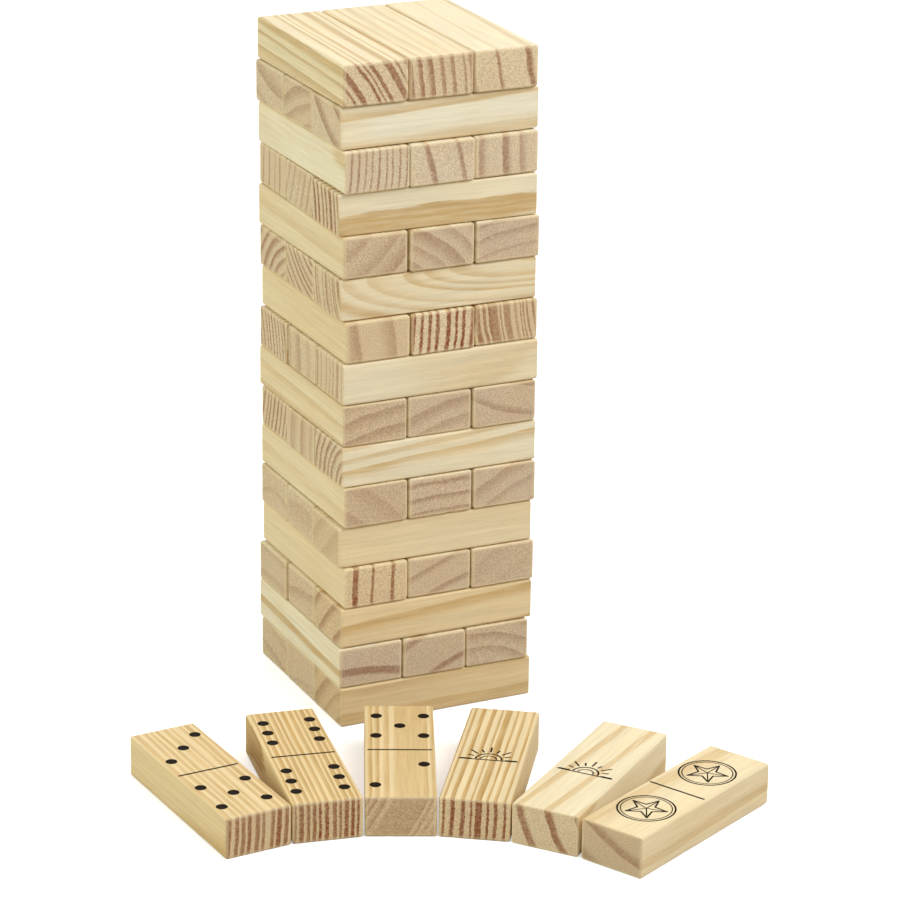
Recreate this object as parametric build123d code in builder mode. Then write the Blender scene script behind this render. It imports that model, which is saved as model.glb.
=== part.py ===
"""A giant tumbling tower: 54 pine blocks, each a separate solid that slides or lifts free.

Forty-eight blocks stand as a tower of sixteen tiers, three blocks to a tier, each tier laid square across the
one below. The other six lie on the ground in front of it, fanned out with their printed faces up.

Frame: millimetres, +Z up, origin on the ground under the middle of the tower. The odd tiers, counted from the
ground, run along X and the even tiers along Y. The fan lies on the -Y side.
"""

import os
from math import cos, radians, sin

from build123d import *

os.makedirs("parts", exist_ok=True)

# One block. Three widths and their gaps come out a little under one length, so the sawn ends stand about a
# millimetre proud of the long sides they cross.
BLOCK_LENGTH = 150.0
BLOCK_WIDTH = 49.0
BLOCK_HEIGHT = 30.3
EDGE_RADIUS = 2.0  # the four long edges, eased by the planer
END_CHAMFER = 0.6  # the arris taken off round each sawn end

# The tower. Each block clears the tier below by a sanded surface's height, so that it can be pushed out.
TIER_GAP = 0.1
TIER_PITCH = BLOCK_HEIGHT + TIER_GAP
TIER_COUNT = 16

# How each tier was laid, from the ground up: its turn in degrees, its shift sideways across its blocks, the
# gap between its blocks, and how far each of the three is pushed along its own length, all in millimetres.
TIER_LAYING = (
    (0.2, -0.1, 0.5, (-0.1, 0.3, 0.6)),
    (-0.4, -1.6, 0.7, (0.3, -0.4, 0.1)),
    (-0.1, 0.1, 0.7, (0.3, 0.6, -0.8)),
    (0.0, 1.4, 0.7, (-0.1, 0.5, -0.3)),
    (-0.6, 0.2, 0.5, (-0.7, 0.4, 0.3)),
    (0.1, 1.0, 1.0, (0.1, -0.5, -0.6)),
    (0.2, -0.6, 0.5, (0.2, -0.2, 0.9)),
    (0.1, 0.0, 1.0, (0.3, 0.6, -0.4)),
    (-0.1, -1.0, 0.7, (0.9, 0.7, 0.0)),
    (0.3, 1.0, 0.4, (-0.4, -0.8, 0.1)),
    (-0.2, 0.4, 0.5, (-0.7, 0.2, 0.4)),
    (0.3, 0.0, 1.2, (0.5, -0.4, -0.7)),
    (-0.8, 0.4, 0.5, (-0.8, 0.3, 0.0)),
    (0.6, -0.8, 0.3, (-0.3, -0.7, 0.6)),
    (0.6, 1.9, 0.5, (-1.3, -0.8, -0.8)),
    (0.2, -1.6, 0.3, (-0.2, 0.3, 0.8)),
)
ALONG_X_LANES = ("front", "middle", "back")
ALONG_Y_LANES = ("left", "middle", "right")

# The fan, from its left: each block's name, its turn in degrees, and its gap in millimetres from the near
# right corner of the block before it. The first is laid with its own near left corner on FAN_START.
FAN_START = (-229.3, -237.3)
FAN_BLOCKS = (
    ("loose_domino_3_5", 4.2, 0.0),
    ("loose_domino_6_6", -10.2, 0.3),
    ("loose_domino_5_2", -23.8, 0.3),
    ("loose_sun_tile_1", -33.8, 0.3),
    ("loose_sun_tile_2", -51.3, 0.3),
    ("loose_star_tile", -63.2, 2.2),
)


def make_block(name, end_plane):
    """One block, drawn as its end on end_plane and extruded along the grain, the plane's own z."""
    with BuildPart() as block:
        with BuildSketch(end_plane):
            RectangleRounded(BLOCK_WIDTH, BLOCK_HEIGHT, EDGE_RADIUS)
        extrude(amount=BLOCK_LENGTH)
        sawn_ends = block.faces().filter_by(Axis(end_plane.origin, end_plane.z_dir))
        chamfer(sawn_ends.edges(), END_CHAMFER)
    block.part.label = name
    export_step(block.part, f"parts/{name}.step")


def end_plane_at(middle, bearing):
    """The plane of a block's near end, for a block centred on middle with its grain at a bearing from +X."""
    grain = Vector(cos(radians(bearing)), sin(radians(bearing)), 0)
    across = Vector(-sin(radians(bearing)), cos(radians(bearing)), 0)
    return Plane(origin=middle - grain * (BLOCK_LENGTH / 2), x_dir=across, z_dir=grain)


def tower_blocks():
    """Every block of the tower, as its name, its middle and the bearing of its grain."""
    for tier, (turn, shift, gap, pushes) in enumerate(TIER_LAYING, start=1):
        runs_along_x = tier % 2 == 1
        bearing = turn if runs_along_x else 90 + turn
        lanes = ALONG_X_LANES if runs_along_x else ALONG_Y_LANES
        grain = Vector(cos(radians(bearing)), sin(radians(bearing)), 0)
        # lanes are counted towards +Y in an X tier and towards +X in a Y tier
        across = Vector(-grain.Y, grain.X, 0) if runs_along_x else Vector(grain.Y, -grain.X, 0)
        height = (tier - 1) * TIER_PITCH + BLOCK_HEIGHT / 2
        for lane, (side, push) in enumerate(zip(lanes, pushes)):
            offset = (lane - 1) * (BLOCK_WIDTH + gap) + shift
            middle = Vector(0, 0, height) + across * offset + grain * push
            yield f"tier_{tier:02d}_{side}", middle, bearing


def fan_blocks():
    """Every loose block, as its name, its middle and the bearing of its grain."""
    corner = Vector(*FAN_START)
    across = Vector(1, 0, 0)
    for name, turn, gap in FAN_BLOCKS:
        corner = corner + across * gap
        across = Vector(cos(radians(turn)), sin(radians(turn)), 0)
        grain = Vector(-across.Y, across.X, 0)
        middle = corner + across * (BLOCK_WIDTH / 2) + grain * (BLOCK_LENGTH / 2)
        yield name, middle + Vector(0, 0, BLOCK_HEIGHT / 2), 90 + turn
        corner = corner + across * BLOCK_WIDTH


assert len(TIER_LAYING) == TIER_COUNT

for name, middle, bearing in (*tower_blocks(), *fan_blocks()):
    make_block(name, end_plane_at(middle, bearing))
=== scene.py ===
"""The looks of the giant tumbling tower: every block as sawn and sanded pine, and the printed tiles.

Each CAD block is replaced by a finer one in the same place. All the blocks share one wood material. It
grows the annual rings of the block's own log through the block in three dimensions, so that the lines on
its ends, sides and top belong together. The prints on the tiles are thin pieces of their own.

A block's own coordinates, in millimetres from its middle, are x to the right, y along the grain away from
the viewer and z up, for someone who faces its near end. Its near end is the one towards the camera.
"""

import math
from random import Random
from typing import NamedTuple

import bpy
import numpy as np
from mathutils import Matrix, Vector


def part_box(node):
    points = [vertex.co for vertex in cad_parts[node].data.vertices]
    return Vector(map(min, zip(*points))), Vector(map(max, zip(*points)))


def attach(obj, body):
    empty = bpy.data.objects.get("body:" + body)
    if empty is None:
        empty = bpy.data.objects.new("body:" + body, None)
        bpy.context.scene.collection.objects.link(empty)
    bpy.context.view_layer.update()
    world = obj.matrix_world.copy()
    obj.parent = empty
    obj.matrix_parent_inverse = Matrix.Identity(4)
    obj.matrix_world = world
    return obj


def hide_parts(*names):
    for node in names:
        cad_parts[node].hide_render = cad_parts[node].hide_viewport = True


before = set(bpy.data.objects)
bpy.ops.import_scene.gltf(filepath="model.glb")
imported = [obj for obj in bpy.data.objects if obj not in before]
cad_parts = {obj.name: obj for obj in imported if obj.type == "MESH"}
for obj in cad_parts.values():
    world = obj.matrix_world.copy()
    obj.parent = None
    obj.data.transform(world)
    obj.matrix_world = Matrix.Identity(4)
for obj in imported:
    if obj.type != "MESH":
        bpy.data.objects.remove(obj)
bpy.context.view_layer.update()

MM = 0.001


# ---------------------------------------------------------------- what each block was cut from

class Cut(NamedTuple):
    """How a block was cut from its log, as its near end shows it. Lengths are in millimetres."""
    lean: float  # degrees that the ring lines lean clockwise from upright
    spacing: float  # from one ring to the next
    line: float  # from the block's middle to the sharp edge of one dark line, square to the lines
    late: float  # share of each ring that is dark latewood
    strength: float  # how dark the latewood is, from 0 to 1
    pith: float  # from the block's middle to the heart of the log, square to the lines
    drift: tuple  # how far the heart wanders right and up along the block
    honey: float  # 0 for the palest cream wood, 1 for the most golden
    grey: float  # how grey and pink the ends are
    bow: float = 0.0  # how far the heart also swings right, mostly over the block's near part
    show: float = 0.8  # how plainly the latewood shows on the long faces
    uneven: float = 0.3  # how much the rings differ in width
    calm: float = 0.0  # half the width of a zone of even wood through the block's middle


CUTS = {
    # even tiers, whose near ends face the front
    "tier_16_left": Cut(-33, 6.6, 1.0, 0.42, 0.9, -190, (2, 3), 0.45, 0.15, show=0.6, uneven=1.0),
    "tier_16_middle": Cut(-6, 8.0, 3.5, 0.46, 0.72, -190, (3, 1), 0.45, 0.2, show=0.45, uneven=1.0),
    "tier_16_right": Cut(-11, 23.0, -5.5, 0.15, 0.75, 230, (5, 2), 0.35, 0.1, show=0.45),
    "tier_14_left": Cut(4, 5.2, 2.1, 0.3, 0.7, -240, (-1.3, 0), 0.1, 0.35),
    "tier_14_middle": Cut(-14, 23.0, -6.5, 0.2, 0.72, -160, (3, 2), 0.0, 0.35, uneven=0.2),
    "tier_14_right": Cut(-3, 16.5, -5.5, 0.34, 0.6, 200, (3, 2), 0.2, 0.35),
    "tier_12_left": Cut(47, 14.0, 5.0, 0.5, 0.45, -120, (3, 5), 0.5, 0.75),
    "tier_12_middle": Cut(-50, 12.0, 4.0, 0.5, 0.48, -90, (3, 5), 0.3, 0.7),
    "tier_12_right": Cut(81, 11.0, 5.0, 0.3, 0.55, 150, (3, 2), 0.25, 0.95),
    "tier_10_left": Cut(-8, 25.0, -11.0, 0.3, 0.42, -200, (3, 1), 0.65, 0.25),
    "tier_10_middle": Cut(4, 6.6, -2.0, 0.42, 1.0, -260, (2, 2), 0.3, 0.0),
    "tier_10_right": Cut(-9, 6.0, 1.0, 0.5, 0.75, 160, (4, 2), 0.7, 0.2, uneven=1.3),
    "tier_08_left": Cut(76, 14.0, 5.0, 0.4, 0.45, 170, (2, 5), 0.5, 0.75),
    "tier_08_middle": Cut(75, 15.0, 6.5, 0.35, 0.42, 160, (2, 5), 0.3, 0.8),
    "tier_08_right": Cut(-72, 19.0, -6.5, 0.3, 0.65, 100, (2, 4), 0.3, 0.95),
    "tier_06_left": Cut(-50, 22.0, 10.0, 0.35, 0.3, -120, (2, 3), 0.5, 0.95),
    "tier_06_middle": Cut(88, 12.5, -1.0, 0.25, 0.6, 230, (2, 3), 0.25, 0.85),
    "tier_06_right": Cut(62, 15.0, 3.0, 0.4, 0.45, 150, (3, 3), 0.25, 0.85),
    "tier_04_left": Cut(0, 14.5, -4.5, 0.22, 0.9, 260, (2, 2), 0.6, 0.1, uneven=0.25),
    "tier_04_middle": Cut(70, 17.0, 7.0, 0.3, 0.65, 160, (2, 3), 0.35, 0.75),
    "tier_04_right": Cut(55, 18.0, 4.0, 0.4, 0.15, 170, (3, 2), 0.3, 1.0),
    "tier_02_left": Cut(95, 27.0, 1.5, 0.2, 0.85, 240, (2, 3), 0.15, 0.9, uneven=0.1),
    "tier_02_middle": Cut(64, 26.0, 4.0, 0.22, 0.72, 200, (2, 3), 0.35, 0.85),
    "tier_02_right": Cut(104, 11.5, 3.0, 0.35, 0.42, 75, (3, 3), 0.35, 0.75),
    # odd tiers, whose near ends face the left
    "tier_15_back": Cut(-75, 16.0, 1.0, 0.35, 0.4, 140, (3, 4), 0.2, 0.45),
    "tier_15_middle": Cut(68, 14.0, 2.0, 0.4, 0.42, 140, (3, 4), 0.2, 0.45),
    "tier_15_front": Cut(-52, 22.6, 16.6, 0.25, 0.55, 110, (0, 7), 0.0, 0.36, show=1.0),
    "tier_13_back": Cut(4, 10.0, -4.0, 0.22, 0.6, -200, (3, 3), 0.2, 0.3),
    "tier_13_middle": Cut(20, 9.0, 0.0, 0.3, 0.5, -160, (3, 3), 0.2, 0.33),
    "tier_13_front": Cut(-10, 6.6, 4.1, 0.42, 0.85, -190, (1, 0), 0.25, 0.24, show=1.0),
    "tier_11_back": Cut(45, 9.0, 2.0, 0.38, 0.62, 65, (2, 3), 0.25, 0.36),
    "tier_11_middle": Cut(-55, 6.2, 1.0, 0.4, 0.75, 80, (3, 3), 0.25, 0.33),
    "tier_11_front": Cut(-14, 5.6, 3.9, 0.5, 0.6, 62, (0, 0), 0.3, 0.12, bow=-30, show=0.85, uneven=0.8),
    "tier_09_back": Cut(-13, 5.6, 1.0, 0.36, 0.75, -180, (3, 3), 0.2, 0.3),
    "tier_09_middle": Cut(-4, 17.0, -1.0, 0.4, 0.38, -200, (3, 3), 0.25, 0.24),
    "tier_09_front": Cut(2, 7.0, 1.5, 0.32, 0.5, -240, (-5, 0), 0.25, 0.18),
    "tier_07_back": Cut(15, 6.0, 0.0, 0.38, 0.75, -170, (3, 3), 0.25, 0.27),
    "tier_07_middle": Cut(3, 16.0, -2.0, 0.45, 0.4, 200, (3, 3), 0.25, 0.21),
    "tier_07_front": Cut(24, 7.0, 1.0, 0.42, 0.7, 45, (2, 14), 0.15, 0.3),
    "tier_05_back": Cut(86, 21.0, -2.0, 0.25, 0.4, 60, (3, 3), 0.3, 0.42),
    "tier_05_middle": Cut(88, 30.0, -8.0, 0.3, 0.2, 160, (3, 3), 0.3, 0.42),
    "tier_05_front": Cut(48, 20.0, 5.0, 0.4, 0.26, 160, (2, 2), 0.55, 0.36),
    "tier_03_back": Cut(90, 19.0, 4.0, 0.3, 0.28, 160, (2, 2), 0.35, 0.51),
    "tier_03_middle": Cut(80, 25.0, -5.0, 0.25, 0.38, 180, (2, 2), 0.35, 0.51),
    "tier_03_front": Cut(46, 18.0, -3.9, 0.26, 0.6, 130, (2, 12), 0.75, 0.42, show=1.0),
    "tier_01_back": Cut(105, 19.0, 3.0, 0.3, 0.3, 150, (2, 2), 0.4, 0.51),
    "tier_01_middle": Cut(80, 22.0, 4.0, 0.3, 0.25, 170, (2, 2), 0.4, 0.51),
    "tier_01_front": Cut(48, 16.0, 3.0, 0.4, 0.5, 150, (2, 2), 0.9, 0.42, show=1.0),
    # the fan
    "loose_domino_3_5": Cut(3, 5.4, 1.0, 0.6, 0.85, -160, (2, 2), 0.85, 0.0, show=0.65, uneven=0.5),
    "loose_domino_6_6": Cut(1, 4.4, 1.0, 0.54, 0.92, -220, (2, 2), 0.95, 0.0, uneven=0.5),
    "loose_domino_5_2": Cut(28, 5.0, 1.0, 0.5, 0.52, -150, (1, 1), 0.85, 0.3, show=1.35, calm=9.5),
    "loose_sun_tile_1": Cut(1, 5.8, 4.6, 0.46, 1.0, -240, (1, 1), 0.75, 0.0, uneven=0.5),
    "loose_sun_tile_2": Cut(-22, 22.0, 4.0, 0.28, 0.8, 90, (12, 4), 0.4, 0.1, show=0.65),
    "loose_star_tile": Cut(-65, 24.0, -1.0, 0.3, 0.65, 150, (2, 3), 0.6, 0.8, show=0.65),
}


# ---------------------------------------------------------------- node graphs

def paint(red, green, blue):
    """A colour as it looks on a screen, 0 to 255 a channel, in the linear form that a shader takes."""
    def linear(channel):
        c = channel / 255
        return c / 12.92 if c <= 0.04045 else ((c + 0.055) / 1.055) ** 2.4
    return (linear(red), linear(green), linear(blue), 1.0)


MIX_SHARE, MIX_FIRST, MIX_SECOND, MIX_RESULT = 0, 6, 7, 2  # sockets that a mix node of colours uses


class Graph:
    """Short ways to add the nodes of one material. A value may be a number or another node's output."""

    def __init__(self, name):
        self.material = bpy.data.materials.new(name)
        self.material.use_nodes = True
        self.tree = self.material.node_tree
        self.tree.nodes.clear()

    def node(self, kind, values=None, **settings):
        made = self.tree.nodes.new(kind)
        for key, value in settings.items():
            setattr(made, key, value)
        for key, value in (values or {}).items():
            self.feed(made.inputs[key], value)
        return made

    def feed(self, socket, value):
        if isinstance(value, bpy.types.NodeSocket):
            self.tree.links.new(value, socket)
        else:
            socket.default_value = value

    def math(self, operation, *values):
        return self.node("ShaderNodeMath", dict(enumerate(values)), operation=operation).outputs[0]

    def product(self, first, second):
        return self.math("MULTIPLY", first, second)

    def vector(self, operation, *values):
        return self.node("ShaderNodeVectorMath", dict(enumerate(values)), operation=operation).outputs[0]

    def axes(self, value):
        return self.node("ShaderNodeSeparateXYZ", {0: value}).outputs

    def joined(self, x, y, z):
        return self.node("ShaderNodeCombineXYZ", {0: x, 1: y, 2: z}).outputs[0]

    def attribute(self, name, kind, output="Vector"):
        return self.node("ShaderNodeAttribute", attribute_name=name, attribute_type=kind).outputs[output]

    def noise(self, place, detail, roughness, output="Fac"):
        values = {"Vector": place, "Scale": 1.0, "Detail": detail, "Roughness": roughness}
        return self.node("ShaderNodeTexNoise", values).outputs[output]

    def ramp(self, value, low, high, to_low=0.0, to_high=1.0):
        """An S-shaped step, from to_low where value is low or less to to_high where it is high or more."""
        values = {"Value": value, "From Min": low, "From Max": high, "To Min": to_low, "To Max": to_high}
        return self.node("ShaderNodeMapRange", values, interpolation_type="SMOOTHSTEP").outputs["Result"]

    def blend(self, share, first, second, mode="MIX"):
        """From the first colour to the second, by a share of 0 to 1."""
        made = self.node("ShaderNodeMix", data_type="RGBA", blend_type=mode)
        for place, value in ((MIX_SHARE, share), (MIX_FIRST, first), (MIX_SECOND, second)):
            self.feed(made.inputs[place], value)
        return made.outputs[MIX_RESULT]

    def shaded(self, colour, factor):
        """A colour made darker or lighter by a factor."""
        return self.blend(1.0, colour, self.joined(factor, factor, factor), "MULTIPLY")

    def bump(self, height, strength, depth):
        """The normal of a surface whose height of 0 to 1 stands for a depth in metres."""
        values = {"Height": height, "Strength": strength, "Distance": depth}
        return self.node("ShaderNodeBump", values).outputs[0]

    def finish(self, **values):
        """Ends the graph in one surface with these values. An underscore in a name stands for a space."""
        named = {name.replace("_", " "): value for name, value in values.items()}
        surface = self.node("ShaderNodeBsdfPrincipled", named)
        self.node("ShaderNodeOutputMaterial", {"Surface": surface.outputs[0]})
        return self.material


# ---------------------------------------------------------------- pine

class Feature(NamedTuple):
    """Noise with features of about this size across and along the grain, in millimetres."""
    across: float
    along: float
    detail: float = 2.0
    roughness: float = 0.5


WANDER = Feature(42, 170, roughness=0.55)  # slow wander of the rings
RIPPLE = Feature(11, 60)  # a quicker ripple on it
FRAY = Feature(1.3, 22, roughness=0.6)  # ragged edges of the dark lines
PATCHES = Feature(2.4, 34, roughness=0.6)  # stretches where a dark line is weaker
FIBRES = Feature(0.6, 26, 3.0, 0.65)
STREAKS = Feature(2.6, 75)
CLOUDS = Feature(30, 70)
PORES = Feature(0.5, 5.5, 1.0)
PINS = Feature(2.6, 3.6, 0.0)  # scarce dark flecks
SPECKS = Feature(0.8, 0.8, 3.0, 0.7)  # cut fibres on the ends

# How far each makes the rings stray, as a share of a ring's width, and the most in millimetres.
WANDER_REACH = (0.45, 4.5)
RIPPLE_REACH = (0.2, 1.5)
FRAY_REACH = (0.6, 2.0)  # in millimetres, on long faces and on ends

GRAIN_LENGTH = 150.0  # the blocks' length in millimetres, over which drift and bow are given
BOW_POWER = 1.5  # above 1, most of the bow falls in the block's near part
PACE = 0.55  # how quickly the width of the rings changes from ring to ring
SEED_SPREAD = (1.7, 0.6)  # how much further along y and z than along x a seed takes the noise
UNEVEN_REACH = 2.0  # an unevenness of 1 shifts a line by up to half this many rings, either way

# What changes with a dark line's strength, each from weak lines to strong ones.
YEARS_DIFFER = (0.5, 1.0, 0.5, 0.15)  # between these strengths, how much the years differ
LINE_SOFTNESS = (0.35, 0.9, 0.85, 0.22)  # and the share of a line's width that is its soft edge
OUTLINE_SHOWS = (0.8, 0.95, 0.0, 0.4)  # and how plainly the last growth outlines it on long faces
SPRING = 0.975  # part of a season at which a hard line stops short
SPRING_SOFTENS = -0.09  # change in that for a wholly soft line, which starts to stop sooner
LATEWOOD_BITE = 0.93  # how dark the fullest latewood is, before its years differ
LAST_GROWTH = (0.72, 0.93)  # part of a season over which the last growth sets in
PORE_SEASON = (0.25, 0.7)  # and the pores

# Levels of noise, and what the colour is multiplied by between them.
PATCH_SHADE = (0.3, 0.65, 0.74, 1.08)
STREAK_SHADE = (0.3, 0.7, 0.93, 1.03)
FIBRE_SHADE = (0.3, 0.7, 0.94, 1.03)
END_FIBRE_SHADE = (0.3, 0.7, 0.95, 1.04)
SPECK_SHADE = (0.36, 0.64, 0.74, 1.16)

# Levels of noise between which these set in, with how much of them there is at each level.
PORE_LEVELS = (0.71, 0.77)
PIN_LEVELS = (0.91, 0.95, 0.0, 0.5)
WARMTH_LEVELS = (0.45, 0.7, 0.0, 0.25)
BLUSH_LEVELS = (0.4, 0.65, 0.0, 0.35)
# The edge tint is real wear on the rounded edges, and also painted shade that darkens the seams between
# blocks.
WEAR_AND_SEAM_SHADE_LEVELS = (0.3, 0.6, 0.35, 0.9)

# Pairs of colours run from the palest wood to the most golden, or from warm ends to grey ones.
EARLYWOOD = (paint(245, 236, 210), paint(234, 208, 158))
LATEWOOD = (paint(207, 166, 92), paint(191, 146, 68))
END_EARLYWOOD = (paint(233, 215, 184), paint(212, 192, 170))
END_LATEWOOD = (paint(147, 80, 43), paint(166, 132, 108))
END_BLUSH = (paint(222, 192, 156), paint(156, 112, 84))  # on earlywood and on latewood
END_HONEY = paint(247, 234, 204)
OUTLINE = paint(146, 100, 52)
WARMTH = paint(238, 210, 158)
PORE = paint(160, 116, 66)
PIN = paint(150, 104, 58)
# A darker, warmer tint on the rounded edges: partly real wear, partly painted shade that strengthens the
# dark seams between blocks.
WORN_EDGE_AND_SEAM_SHADE = paint(226, 196, 140)
# A pale cream around the sawn ends: partly the paler eased wood, partly a painted highlight where the
# eased edge catches the light.
PALE_RIM_AND_HIGHLIGHT = paint(240, 224, 186)

# How much of each colour the surface takes, where it takes any.
HONEY_ON_END = 0.8
PORE_SHARE = 0.4
# Share of the edge tint, which is partly wear and partly painted seam shade.
WEAR_AND_SEAM_SHADE_SHARE = 0.18
# Share of the ends' pale rim, part of which is painted highlight.
RIM_AND_HIGHLIGHT_SHARE = 0.45
RIM_AND_HIGHLIGHT_POWER = 2.5  # above 1, the pale rim of an end, partly painted highlight, is narrower than the edge tint, partly painted shade

# The wood's relief, as shares of the bump's depth.
RIDGE_HEIGHT = 0.5
FIBRE_HEIGHT = 0.5
SPECK_HEIGHT = 1.1
WOOD_BUMP = (0.55, 0.12 * MM)  # its strength and its depth

ROUGHNESS = (0.2, 0.8, 0.58, 0.7)  # between these levels of the specks, from smooth to rough
LATEWOOD_SMOOTHER = -0.12
END_ROUGHER = 0.12
WORN_SMOOTHER = 0.1
WOOD_SHINE = 0.25


class Pine(Graph):
    """The graph of bare sanded pine, with the values that it reads from each block's mesh and cut."""

    def __init__(self):
        super().__init__("bare_sanded_pine")
        self.place = self.attribute("place_mm", "GEOMETRY")
        self.on_end = self.attribute("end_grain", "GEOMETRY", "Fac")
        # nearness to an edge, which sets the edge tint with its painted seam shade and the ends' rim with
        # its painted highlight
        self.edge = self.attribute("edge_wear_shade_and_highlight", "GEOMETRY", "Fac")
        self.pith_x, self.pith_z, self.reach = self.axes(self.attribute("pith", "OBJECT"))
        self.drift_x, self.drift_z, self.side = self.axes(self.attribute("drift", "OBJECT"))
        self.spacing, self.late, self.strength = self.axes(self.attribute("rings", "OBJECT"))
        self.honey, self.grey, self.line = self.axes(self.attribute("tone", "OBJECT"))
        self.seed, self.bow, self.show = self.axes(self.attribute("luck", "OBJECT"))
        self.uneven, self.calm, _ = self.axes(self.attribute("habit", "OBJECT"))
        self.shift = self.joined(self.seed, *[self.product(self.seed, spread) for spread in SEED_SPREAD])
        self.fibre = self.grained(FIBRES)
        self.cloud = self.grained(CLOUDS)
        self.speck = self.grained(SPECKS)

    def grained(self, feature, output="Fac"):
        sizes = (1 / feature.across, 1 / feature.along, 1 / feature.across)
        place = self.vector("ADD", self.vector("MULTIPLY", self.place, sizes), self.shift)
        return self.noise(place, feature.detail, feature.roughness, output)


def growth_years(g):
    """Years of growth at each point, counted so that a dark line's sharp edge falls on the cut's line."""
    x, y, z = g.axes(g.place)
    wander = g.axes(g.grained(WANDER, "Color"))
    ripple = g.axes(g.grained(RIPPLE, "Color"))
    sway = g.math("MINIMUM", g.product(g.spacing, WANDER_REACH[0]), WANDER_REACH[1])
    tremble = g.math("MINIMUM", g.product(g.spacing, RIPPLE_REACH[0]), RIPPLE_REACH[1])

    # the log's heart runs a little askew of the block
    depth = g.product(g.math("ADD", y, GRAIN_LENGTH / 2), 1 / GRAIN_LENGTH)
    swing = g.math("SUBTRACT", 1.0, g.math("POWER", g.math("SUBTRACT", 1.0, depth), BOW_POWER))
    heart_x = g.math("MULTIPLY_ADD", swing, g.bow, g.pith_x)

    def from_heart(value, heart, drift, channel):
        value = g.math("SUBTRACT", value, g.math("MULTIPLY_ADD", drift, depth, heart))
        value = g.math("MULTIPLY_ADD", g.math("SUBTRACT", wander[channel], 0.5), sway, value)
        return g.math("MULTIPLY_ADD", g.math("SUBTRACT", ripple[channel], 0.5), tremble, value)

    dx = from_heart(x, heart_x, g.drift_x, 0)
    dz = from_heart(z, g.pith_z, g.drift_z, 2)
    radius = g.math("SQRT", g.math("ADD", g.product(dx, dx), g.product(dz, dz)))
    outwards = g.math("SUBTRACT", radius, g.reach)
    calm = g.math("MAXIMUM", g.math("MINIMUM", outwards, g.calm), g.product(g.calm, -1.0))
    outwards = g.math("SUBTRACT", outwards, calm)
    outwards = g.math("SUBTRACT", outwards, g.product(g.side, g.line))
    fray = g.math("SUBTRACT", g.grained(FRAY), 0.5)
    outwards = g.math("MULTIPLY_ADD", fray, g.ramp(g.on_end, 0.0, 1.0, *FRAY_REACH), outwards)
    years = g.math("DIVIDE", outwards, g.spacing)
    along = {"W": g.math("MULTIPLY_ADD", years, PACE, g.seed), "Scale": 1.0, "Detail": 1.0}
    pace = g.node("ShaderNodeTexNoise", along, noise_dimensions="1D").outputs["Fac"]
    return g.math("MULTIPLY_ADD", g.math("SUBTRACT", pace, 0.5), g.product(g.uneven, UNEVEN_REACH), years)


def latewood(g):
    """Each point's part of its season, how dark its latewood is, and how far it is a season's last growth.

    Latewood darkens through a season and stops short at the next spring. Strong lines have crisp edges.
    """
    years = growth_years(g)
    year = g.math("FLOOR", years)
    season = g.math("SUBTRACT", years, year)
    luck = g.node("ShaderNodeTexWhiteNoise", {"W": g.math("ADD", year, g.seed)}, noise_dimensions="1D")
    variety = g.product(g.math("SUBTRACT", luck.outputs["Value"], 0.5), g.ramp(g.strength, *YEARS_DIFFER))
    late = g.product(g.late, g.math("ADD", 1.0, variety))
    soft = g.ramp(g.strength, *LINE_SOFTNESS)
    start = g.math("SUBTRACT", 1.0, g.product(late, g.math("ADD", 1.0, soft)))
    full = g.math("SUBTRACT", 1.0, g.product(late, g.math("SUBTRACT", 1.0, soft)))
    rise = g.ramp(season, start, full)
    fall = g.ramp(season, g.math("MULTIPLY_ADD", soft, SPRING_SOFTENS, SPRING), 1.0, 1.0, 0.0)
    bite = g.product(g.strength, g.math("ADD", LATEWOOD_BITE, variety))
    patch = g.ramp(g.grained(PATCHES), *PATCH_SHADE)
    dark = g.product(g.product(rise, fall), g.product(bite, patch))
    return season, dark, g.product(g.ramp(season, *LAST_GROWTH), fall)


def long_face(g, dark, last_growth, pores):
    """The colour of the planed faces along the grain, with fibres, streaks, pores and a few flecks."""
    colour = g.blend(g.product(dark, g.show), g.blend(g.honey, *EARLYWOOD), g.blend(g.honey, *LATEWOOD))
    outline = g.product(g.product(last_growth, g.show), g.ramp(g.strength, *OUTLINE_SHOWS))
    colour = g.blend(outline, colour, OUTLINE)
    colour = g.blend(g.ramp(g.cloud, *WARMTH_LEVELS), colour, WARMTH)
    streaks = g.ramp(g.grained(STREAKS), *STREAK_SHADE)
    colour = g.shaded(colour, g.product(streaks, g.ramp(g.fibre, *FIBRE_SHADE)))
    colour = g.blend(g.product(pores, PORE_SHARE), colour, PORE)
    return g.blend(g.ramp(g.grained(PINS), *PIN_LEVELS), colour, PIN)


def sawn_end(g, dark):
    """The colour of the ends, where the fibres are cut across and show as specks."""
    colour = g.blend(dark, g.blend(g.grey, *END_EARLYWOOD), g.blend(g.grey, *END_LATEWOOD))
    golden = g.blend(1.0, colour, END_HONEY, "MULTIPLY")
    colour = g.blend(g.product(g.honey, HONEY_ON_END), colour, golden)
    colour = g.blend(g.ramp(g.cloud, *BLUSH_LEVELS), colour, g.blend(dark, *END_BLUSH))
    return g.shaded(colour, g.product(g.ramp(g.speck, *SPECK_SHADE), g.ramp(g.fibre, *END_FIBRE_SHADE)))


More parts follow.
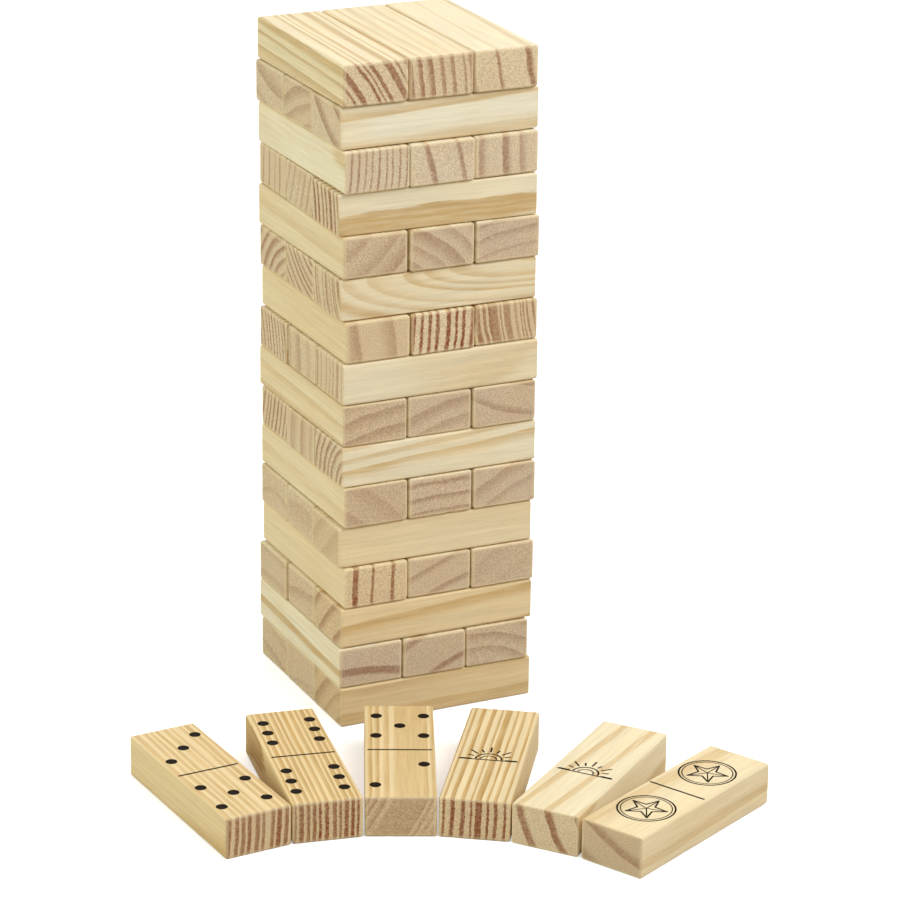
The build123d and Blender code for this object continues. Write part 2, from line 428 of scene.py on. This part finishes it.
def make_pine():
    """Bare sanded pine. Edges show wear in places, under a darker edge tint that is partly painted shade
    for the seams between blocks, and the sawn ends have a pale rim that is partly a painted highlight.
    """
    g = Pine()
    season, dark, last_growth = latewood(g)
    pores = g.product(g.ramp(g.grained(PORES), *PORE_LEVELS), g.ramp(season, *PORE_SEASON))
    colour = g.blend(g.on_end, long_face(g, dark, last_growth, pores), sawn_end(g, dark))
    # Painted shade: the edge tint is wear, and it also darkens the rounded edges so that the seams between
    # blocks look deeper in shade.
    wear_and_seam_shade = g.product(g.edge, g.ramp(g.cloud, *WEAR_AND_SEAM_SHADE_LEVELS))
    colour = g.blend(g.product(wear_and_seam_shade, WEAR_AND_SEAM_SHADE_SHARE), colour, WORN_EDGE_AND_SEAM_SHADE)
    # Painted highlight: a pale rim on the eased edges of the ends, partly their paler wood and partly
    # light that the edge catches.
    rim = g.product(g.math("POWER", g.edge, RIM_AND_HIGHLIGHT_POWER), g.product(g.on_end, RIM_AND_HIGHLIGHT_SHARE))
    colour = g.blend(rim, colour, PALE_RIM_AND_HIGHLIGHT)

    ridges = g.product(dark, RIDGE_HEIGHT)
    long_height = g.math("MULTIPLY_ADD", g.fibre, FIBRE_HEIGHT, g.math("SUBTRACT", ridges, pores))
    end_height = g.math("MULTIPLY_ADD", g.speck, SPECK_HEIGHT, ridges)
    height = g.node("ShaderNodeMix", {0: g.on_end, 2: long_height, 3: end_height}).outputs[0]

    rough = g.math("MULTIPLY_ADD", dark, LATEWOOD_SMOOTHER, g.ramp(g.speck, *ROUGHNESS))
    rough = g.math("ADD", rough, g.product(g.on_end, END_ROUGHER))
    rough = g.math("SUBTRACT", rough, g.product(wear_and_seam_shade, WORN_SMOOTHER))
    return g.finish(Base_Color=colour, Roughness=rough, Specular_IOR_Level=WOOD_SHINE,
                    Normal=g.bump(height, *WOOD_BUMP))


# ---------------------------------------------------------------- ink

INK = paint(24, 17, 12)
INK_ON_FIBRES = paint(56, 40, 27)
INK_BLOTCH = paint(40, 30, 22)
INK_FIBRES_PER_MM = (1 / 0.5, 1 / 9, 1.0)
INK_FIBRE_GRAIN = (3.0, 0.65)  # detail and roughness of the noise
INK_FIBRE_LEVELS = (0.5, 0.8)
INK_BLOTCHES_PER_MM = (1 / 3, 1 / 3, 1.0)
INK_BLOTCH_GRAIN = (2.0, 0.5)
INK_BLOTCH_LEVELS = (0.4, 0.7, 0.0, 0.3)
INK_ROUGHNESS = (0.3, 0.7, 0.6, 0.8)  # between these levels of the blotches, from smooth to rough
INK_SHINE = 0.12
INK_BUMP = (0.4, 0.05 * MM)


def make_ink():
    """Flat dark printing ink that sinks a little into the fibres."""
    g = Graph("flat_printing_ink")
    place = g.attribute("place_mm", "GEOMETRY")
    fibre = g.noise(g.vector("MULTIPLY", place, INK_FIBRES_PER_MM), *INK_FIBRE_GRAIN)
    blotch = g.noise(g.vector("MULTIPLY", place, INK_BLOTCHES_PER_MM), *INK_BLOTCH_GRAIN)
    colour = g.blend(g.ramp(fibre, *INK_FIBRE_LEVELS), INK, INK_ON_FIBRES)
    colour = g.blend(g.ramp(blotch, *INK_BLOTCH_LEVELS), colour, INK_BLOTCH)
    rough = g.ramp(blotch, *INK_ROUGHNESS)
    return g.finish(Base_Color=colour, Roughness=rough, Specular_IOR_Level=INK_SHINE,
                    Normal=g.bump(fibre, *INK_BUMP))


# ---------------------------------------------------------------- blocks

# Ranges that each block draws its own value from, in millimetres.
SIDE_GAP = (0.1, 0.25)  # how much narrower it is than its CAD body, on each side
END_GAP = (0.0, 0.3)  # and shorter, at each end
TOP_GAP = (0.35, 0.65)  # and lower, at its top
EDGE_RADIUS = (1.5, 2.1)  # of its long edges
ARRIS = (0.8, 1.5)  # how far the sawn ends' edges are eased

PLANING = 0.045  # how far the planed skin lies inside the block's own box on the whole
PLANING_WAVES = (10.0, 4.0, 1.7)  # the waves of the planed skin are at least four times as long as these
WAVE_HEIGHT = 0.2 * PLANING
WEAR_SHADE_AND_HIGHLIGHT_WIDTH = 2.2  # how far wear, the painted seam shade and the ends' painted highlight reach in from an edge

DENTS = (5, 9)  # how many small dents a block has along its edges and corners
DENTS_AT_END = 0.45  # share of them that are at an end
DENTS_ALONG_END = 0.6  # share of those that are along the end's edge, and not on its corner
DENT_RADIUS = (1.2, 4.0)
DENT_DEPTH = (0.15, 0.6)
DENT_STRETCH = np.array([1.0, 0.55, 1.0])  # below 1 along the grain, where dents are longer
DENT_POWER = 1.5  # above 1, a dent is sharper in its middle

ROUND_CELLS, ARRIS_CELLS = 4, 3
FLAT_CELLS_X, FLAT_CELLS_Z, LENGTH_CELLS = 12, 8, 58
END_GRAIN_ROWS = 1  # outermost rows of cells on the long faces that show end grain
SEED_STEP = 7.31  # how far apart the blocks' wood is taken from the noise
AWAY = Vector((1, 2, 0))  # from the viewer of the near ends, both in the tower and in the fan


def spaced(half, rim, rim_cells, flat_cells):
    """Grid lines from -half to half, with their own number of cells in each rim."""
    rim_lines = np.linspace(half - rim, half, rim_cells + 1)[1:]
    flat = np.linspace(-(half - rim), half - rim, flat_cells + 1)
    return np.concatenate([-rim_lines[::-1], flat, rim_lines])


def box_grid(xs, ys, zs):
    """The skin of a box as grid cells: points, quads, and for each quad 1 if it shows end grain.

    The outermost rows of cells along each end show end grain too, since the end's edge is eased there.
    """
    index, points, quads, ends = {}, [], [], []
    nx, ny, nz = len(xs) - 1, len(ys) - 1, len(zs) - 1

    def vertex(i, j, k):
        if (i, j, k) not in index:
            index[i, j, k] = len(points)
            points.append((xs[i], ys[j], zs[k]))
        return index[i, j, k]

    def add_quad(corners, flip, shows_end):
        quad = [vertex(*corner) for corner in corners]
        quads.append(quad[::-1] if flip else quad)
        ends.append(int(shows_end))

    def near_end(j):
        return min(j, ny - 1 - j) < END_GRAIN_ROWS

    for i in range(nx):
        for j in range(ny):
            for k, flip in ((0, True), (nz, False)):
                add_quad([(i, j, k), (i + 1, j, k), (i + 1, j + 1, k), (i, j + 1, k)], flip, near_end(j))
    for j in range(ny):
        for k in range(nz):
            for i, flip in ((0, True), (nx, False)):
                add_quad([(i, j, k), (i, j + 1, k), (i, j + 1, k + 1), (i, j, k + 1)], flip, near_end(j))
    for i in range(nx):
        for k in range(nz):
            for j, flip in ((0, False), (ny, True)):
                add_quad([(i, j, k), (i + 1, j, k), (i + 1, j, k + 1), (i, j, k + 1)], flip, True)
    return np.array(points), quads, ends


def rounded(points, half, radius, arris):
    """Points on a box's skin, moved so that its long edges are round and its end edges are eased."""
    shape = points.copy()
    core = np.array([half[0] - radius, half[2] - radius])
    across = points[:, [0, 2]]
    inner = np.clip(across, -core, core)
    out = across - inner
    largest = np.abs(out).max(axis=1)
    length = np.linalg.norm(out, axis=1)
    scale = np.divide(largest, length, out=np.ones_like(length), where=length > 0)
    shape[:, [0, 2]] = inner + out * scale[:, None]
    past = np.clip((np.abs(points[:, 1]) - (half[1] - arris)) / arris, 0, 1)
    drawn_in = arris * (1 - np.sqrt(np.clip(1 - past ** 2, 0, 1)))
    on_rim = np.maximum(np.abs(points[:, 0]) / half[0], np.abs(points[:, 2]) / half[2])
    shape[:, 0] *= 1 - drawn_in / half[0] * on_rim
    shape[:, 2] *= 1 - drawn_in / half[2] * on_rim
    return shape


def own_frame(node):
    """The matrix from a block's own millimetres to the frame, and half its size in millimetres."""
    low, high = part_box(node.name)
    corners = np.array([v.co[:2] for v in node.data.vertices])
    corners -= corners.mean(axis=0)
    spread, directions = np.linalg.eigh(corners.T @ corners)
    grain = Vector((*directions[:, spread.argmax()], 0.0))
    if grain.dot(AWAY) < 0:
        grain = -grain
    right = grain.cross(Vector((0, 0, 1)))
    half = []
    for axis in (right, grain):
        reach = corners @ np.array(axis[:2])
        half.append((reach.max() - reach.min()) / 2 / MM)
    half.append((high.z - low.z) / 2 / MM)
    matrix = Matrix.Identity(4)
    matrix.col[0][:3], matrix.col[1][:3] = right, grain
    matrix = Matrix.Translation((low + high) / 2) @ matrix @ Matrix.Scale(MM, 4)
    return matrix, half


def dents(points, half, draw):
    """How far small dents along the block's edges and corners push each point in, in millimetres."""
    depth = np.zeros(len(points))
    for _ in range(draw.randint(*DENTS)):
        side_x, side_z = draw.choice((-1, 1)), draw.choice((-1, 1))
        at_end = draw.random() < DENTS_AT_END
        y = draw.choice((-1, 1)) * half[1] if at_end else draw.uniform(-half[1], half[1])
        if at_end and draw.random() < DENTS_ALONG_END:
            x = draw.uniform(-half[0], half[0])
        else:
            x = side_x * half[0]
        radius, most = draw.uniform(*DENT_RADIUS), draw.uniform(*DENT_DEPTH)
        away = np.linalg.norm((points - np.array([x, y, side_z * half[2]])) * DENT_STRETCH, axis=1)
        depth += most * np.clip(1 - away / radius, 0, 1) ** DENT_POWER
    return depth


def planing(points, draw):
    """How far each point lies inside the block's own box because of uneven planing, in millimetres."""
    depth = np.full(len(points), PLANING)
    for reach in PLANING_WAVES:
        wave = np.array([draw.uniform(-1, 1), draw.uniform(-1, 1) / 3, draw.uniform(-1, 1)]) / reach
        depth += WAVE_HEIGHT * np.sin(points @ wave + draw.uniform(0, 2 * math.pi))
    return depth


def add_mesh(label, points, faces, matrix, material):
    """A new object of points in a block's own millimetres, which its material can read as place_mm."""
    mesh = bpy.data.meshes.new(label)
    placed = points @ np.array(matrix)[:3, :3].T + np.array(matrix.translation)
    mesh.from_pydata(placed.tolist(), [], faces)
    mesh.attributes.new("place_mm", "FLOAT_VECTOR", "POINT").data.foreach_set("vector", points.ravel())
    mesh.materials.append(material)
    piece = bpy.data.objects.new(label, mesh)
    bpy.context.scene.collection.objects.link(piece)
    return piece


def set_cut(block, cut, seed):
    """The cut as properties of the block, where the wood's material reads them, three to a property."""
    lean = math.radians(cut.lean)
    side = -1.0 if cut.pith > 0 else 1.0
    block["pith"] = [cut.pith * math.cos(lean), -cut.pith * math.sin(lean), abs(cut.pith)]
    block["drift"] = [float(cut.drift[0]), float(cut.drift[1]), side]
    block["rings"] = [cut.spacing, cut.late, cut.strength]
    block["tone"] = [cut.honey, cut.grey, cut.line]
    block["luck"] = [seed * SEED_STEP, float(cut.bow), cut.show]
    block["habit"] = [cut.uneven, float(cut.calm), 0.0]


def make_block(name, cut, seed):
    """One block of wood in the place of the CAD node of the same name. Returns its matrix and its top."""
    draw = Random(seed)
    matrix, half = own_frame(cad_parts[name])
    side_gap, end_gap, top_gap = draw.uniform(*SIDE_GAP), draw.uniform(*END_GAP), draw.uniform(*TOP_GAP)
    size = np.array([half[0] - side_gap, half[1] - end_gap, half[2] - top_gap / 2])
    radius, arris = draw.uniform(*EDGE_RADIUS), draw.uniform(*ARRIS)
    xs = spaced(size[0], radius, ROUND_CELLS, FLAT_CELLS_X)
    ys = spaced(size[1], arris, ARRIS_CELLS, LENGTH_CELLS)
    zs = spaced(size[2], radius, ROUND_CELLS, FLAT_CELLS_Z)
    points, quads, ends = box_grid(xs, ys, zs)

    # uneven planing and dents go in from the skin, and the block rests on the foot of its CAD box
    core = size - np.array([radius, arris, radius])
    outward = points - np.clip(points, -core, core)
    outward /= np.linalg.norm(outward, axis=1)[:, None]
    pushed_in = planing(points, draw) + dents(points, size, draw)
    shape = rounded(points, size, radius, arris) - outward * pushed_in[:, None]
    shape[:, 2] -= top_gap / 2

    block = add_mesh("wood_" + name, shape, quads, matrix, pine)
    inside = np.sort(size - np.abs(points), axis=1)
    # Nearness to an edge, for the edge tint with its painted seam shade and the ends' pale rim with its
    # painted highlight.
    wear = np.clip(1 - inside[:, 1] / WEAR_SHADE_AND_HIGHLIGHT_WIDTH, 0, 1)
    attributes = block.data.attributes
    attributes.new("end_grain", "FLOAT", "FACE").data.foreach_set("value", np.array(ends, float))
    attributes.new("edge_wear_shade_and_highlight", "FLOAT", "POINT").data.foreach_set("value", wear)
    block.data.shade_smooth()
    set_cut(block, cut, seed)
    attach(block, name)
    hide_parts(name)
    return matrix, half[2] - top_gap


pine = make_pine()
ink = make_ink()
blocks = {name: make_block(name, CUTS[name], seed) for seed, name in enumerate(sorted(CUTS), start=1)}


# ---------------------------------------------------------------- prints

# All in millimetres, from the middle of the tile's top.
STROKE = 1.3  # width of a drawn line
FINE_STROKE = 1.0
INK_TOP, INK_BOTTOM = -0.003, -0.15  # from the top of the wood

PIP_RADIUS = 4.0
PIP_STEP = 16.5
HALF_MIDDLE = 39.8  # from the tile's middle to the middle of each half
DIVIDER_LENGTH, DIVIDER_WIDTH = 43.0, 1.7
PIPS = {
    2: ((-1, -1), (1, 1)),
    3: ((-1, -1), (0, 0), (1, 1)),
    5: ((-1, -1), (-1, 1), (0, 0), (1, -1), (1, 1)),
    6: ((-1, -1), (-1, 0), (-1, 1), (1, -1), (1, 0), (1, 1)),
}

HORIZON_HALF, HORIZON_Y = 20.0, -11.0
SUN_Y = -10.0
SUN_RADIUS, SUN_CORE_RADIUS = 9.0, 5.5
RAYS = 9
RAY_START, LONG_RAY_END, SHORT_RAY_END = 12.0, 19.0, 15.5

STAR_Y = HALF_MIDDLE - 4.0  # from the tile's middle to each star
STAR_RING_RADIUS, STAR_INNER_RING_RADIUS = 19.5, 17.3
INNER_RING_STROKE, SPOKE_STROKE = 0.8, 0.9
STAR_TIP, STAR_NOTCH = 14.5, 6.2  # how far the star's points and notches are from its middle
SPOKE_SHARE = 0.8  # how far towards each point its spoke runs

PIP_STEPS = 40
BAR_END_STEPS = 8


def on_circle(x, y, radius, angle):
    return (x + radius * math.cos(angle), y + radius * math.sin(angle))


def disc(x, y, radius):
    return [[on_circle(x, y, radius, 2 * math.pi * step / PIP_STEPS) for step in range(PIP_STEPS)]]


def bar(start, end, width=STROKE):
    """A straight stroke with round ends, as one outline."""
    heading = math.atan2(end[1] - start[1], end[0] - start[0])
    outline = []
    for middle, first in ((end, -90), (start, 90)):
        for step in range(BAR_END_STEPS + 1):
            angle = heading + math.radians(first + 180 * step / BAR_END_STEPS)
            outline.append(on_circle(*middle, width / 2, angle))
    return [outline]


def ring(x, y, radius, width=STROKE, degrees=360.0, steps=72):
    """A round stroke, or its first part, as a run of four-sided outlines that share their edges."""
    rims = []
    for step in range(steps + 1):
        angle = math.radians(degrees * step / steps)
        rims.append([on_circle(x, y, rim, angle) for rim in (radius - width / 2, radius + width / 2)])
    return [[a[0], a[1], b[1], b[0]] for a, b in zip(rims, rims[1:])]


def divider():
    return bar((-DIVIDER_LENGTH / 2, 0), (DIVIDER_LENGTH / 2, 0), DIVIDER_WIDTH)


def domino(far, near):
    """Two numbers of pips, one in each half of the tile."""
    shapes = divider()
    for count, middle in ((far, HALF_MIDDLE), (near, -HALF_MIDDLE)):
        for x, y in PIPS[count]:
            shapes += disc(x * PIP_STEP, middle + y * PIP_STEP, PIP_RADIUS)
    return shapes


def sun():
    """A plain rising sun over a horizon."""
    shapes = bar((-HORIZON_HALF, HORIZON_Y), (HORIZON_HALF, HORIZON_Y))
    shapes += ring(0, SUN_Y, SUN_RADIUS, STROKE, degrees=180, steps=36)
    shapes += ring(0, SUN_Y, SUN_CORE_RADIUS, FINE_STROKE, degrees=180, steps=30)
    for ray in range(RAYS):
        angle = math.pi * ray / (RAYS - 1)
        reach = LONG_RAY_END if ray % 2 == 0 else SHORT_RAY_END
        shapes += bar(on_circle(0, SUN_Y, RAY_START, angle), on_circle(0, SUN_Y, reach, angle))
    return shapes


def star(y):
    """A plain five-pointed star in two rings."""
    shapes = ring(0, y, STAR_RING_RADIUS) + ring(0, y, STAR_INNER_RING_RADIUS, INNER_RING_STROKE)
    corners = []
    for corner in range(10):
        reach = STAR_TIP if corner % 2 == 0 else STAR_NOTCH
        corners.append(on_circle(0, y, reach, math.radians(90 + 36 * corner)))
    for a, b in zip(corners, corners[1:] + corners[:1]):
        shapes += bar(a, b)
    for x, tip_y in corners[::2]:
        shapes += bar((0, y), (x * SPOKE_SHARE, y + (tip_y - y) * SPOKE_SHARE), SPOKE_STROKE)
    return shapes


def print_on(name, shapes, label, turn=0.0, right=0.0):
    """The flat outlines as thin ink on top of a block, in one piece that rides with it.

    A print may sit askew: turned anticlockwise by some degrees, and to the right by some millimetres.
    """
    matrix, top = blocks[name]
    matrix = matrix @ Matrix.Translation((right, 0, 0)) @ Matrix.Rotation(math.radians(turn), 4, "Z")
    points, faces = [], []
    for outline in shapes:
        first, count = len(points), len(outline)
        area = sum(a[0] * b[1] - b[0] * a[1] for a, b in zip(outline, outline[1:] + outline[:1]))
        outline = outline if area > 0 else outline[::-1]
        for level in (INK_TOP, INK_BOTTOM):
            points += [(x, y, top + level) for x, y in outline]
        faces.append(list(range(first, first + count)))
        faces.append(list(range(first + 2 * count - 1, first + count - 1, -1)))
        for i in range(count):
            j = (i + 1) % count
            faces.append([first + i, first + count + i, first + count + j, first + j])
    piece = add_mesh(label, np.array(points, float), faces, matrix, ink)
    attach(piece, name)


print_on("loose_domino_3_5", domino(3, 5), "print_domino_3_5", turn=-0.7, right=-0.7)
print_on("loose_domino_6_6", domino(6, 6), "print_domino_6_6", turn=-1.0)
print_on("loose_domino_5_2", domino(5, 2), "print_domino_5_2", turn=-0.6)
print_on("loose_sun_tile_1", sun(), "print_sun_1")
print_on("loose_sun_tile_2", sun(), "print_sun_2")
print_on("loose_star_tile", star(STAR_Y) + star(-STAR_Y) + divider(), "print_stars")


# ---------------------------------------------------------------- floor, light and camera

FLOOR_REACH = 30.0
FLOOR_SEEN = (0.93, 0.93, 0.93, 1.0)
FLOOR_BOUNCE = (0.48, 0.44, 0.38, 1.0)  # the floor's colour for the light that it throws on the blocks
FLOOR_GLOW = 0.45
LIGHT_SIZE = 2.0
LIGHT_DISTANCE = 3.0
LIGHT_TARGET = Vector((0.0, 0.0, 0.2))
SKY_STRENGTH = 0.5
WHITE = (1.0, 1.0, 1.0, 1.0)


def make_floor():
    """A wide pale floor. The camera sees it a little brighter than it lights the blocks from below."""
    g = Graph("pale_studio_floor")
    seen = g.node("ShaderNodeLightPath").outputs["Is Camera Ray"]
    colour = g.blend(seen, FLOOR_BOUNCE, FLOOR_SEEN)
    glow = g.product(seen, FLOOR_GLOW)
    material = g.finish(Base_Color=colour, Roughness=0.9, Specular_IOR_Level=0.0,
                        Emission_Color=WHITE, Emission_Strength=glow)
    mesh = bpy.data.meshes.new("floor")
    corners = [(x * FLOOR_REACH, y * FLOOR_REACH, 0) for x, y in ((-1, -1), (1, -1), (1, 1), (-1, 1))]
    mesh.from_pydata(corners, [], [(0, 1, 2, 3)])
    mesh.materials.append(material)
    floor = bpy.data.objects.new("floor", mesh)
    bpy.context.scene.collection.objects.link(floor)


def direction_from(azimuth, elevation):
    """Unit vector towards someone who looks at the object from this azimuth and elevation, in degrees."""
    a, e = math.radians(azimuth), math.radians(elevation)
    return Vector((math.sin(a) * math.cos(e), -math.cos(a) * math.cos(e), math.sin(e)))


def add_light(name, azimuth, elevation, power, colour):
    """A square area light that looks at a point inside the tower from this azimuth and elevation."""
    lamp = bpy.data.lights.new(name, "AREA")
    lamp.shape, lamp.size, lamp.energy, lamp.color = "SQUARE", LIGHT_SIZE, power, colour
    light = bpy.data.objects.new(name, lamp)
    bpy.context.scene.collection.objects.link(light)
    back = direction_from(azimuth, elevation)
    light.location = LIGHT_TARGET + back * LIGHT_DISTANCE
    light.rotation_mode = "QUATERNION"
    light.rotation_quaternion = (-back).to_track_quat("-Z", "Y")


def light_all_round():
    """Even white light from everywhere."""
    world = bpy.data.worlds.new("studio")
    world.use_nodes = True
    background = world.node_tree.nodes["Background"].inputs
    background["Color"].default_value = WHITE
    background["Strength"].default_value = SKY_STRENGTH
    bpy.context.scene.world = world


def add_camera(azimuth, elevation, roll, distance, lens, aim_right, aim_height):
    """The camera, this far in metres from a point at aim_height, aim_right of the tower's middle."""
    back = direction_from(azimuth, elevation)
    a, r = math.radians(azimuth), math.radians(roll)
    right = Vector((math.cos(a), math.sin(a), 0.0))
    up = back.cross(right)
    data = bpy.data.cameras.new("camera")
    data.lens, data.sensor_width = lens, 36.0
    data.clip_start, data.clip_end = 0.05, 100.0
    camera = bpy.data.objects.new("camera", data)
    bpy.context.scene.collection.objects.link(camera)
    across = right * math.cos(r) + up * math.sin(r)
    upright = up * math.cos(r) - right * math.sin(r)
    spin = Matrix((across, upright, back)).transposed()
    place = right * aim_right + Vector((0, 0, aim_height)) + back * distance
    camera.matrix_world = Matrix.Translation(place) @ spin.to_4x4()
    bpy.context.scene.camera = camera


make_floor()
add_light("key", azimuth=30, elevation=48, power=57, colour=(1.0, 1.0, 0.97))
add_light("left_fill", azimuth=-95, elevation=18, power=38, colour=(0.96, 1.0, 0.78))
add_light("back_fill", azimuth=160, elevation=55, power=20, colour=(1.0, 1.0, 1.0))
light_all_round()
bpy.context.scene.view_settings.view_transform = "Standard"
add_camera(azimuth=-25.43, elevation=20.15, roll=0.72, distance=2.7267, lens=151.05,
           aim_right=0.0394, aim_height=0.1759)
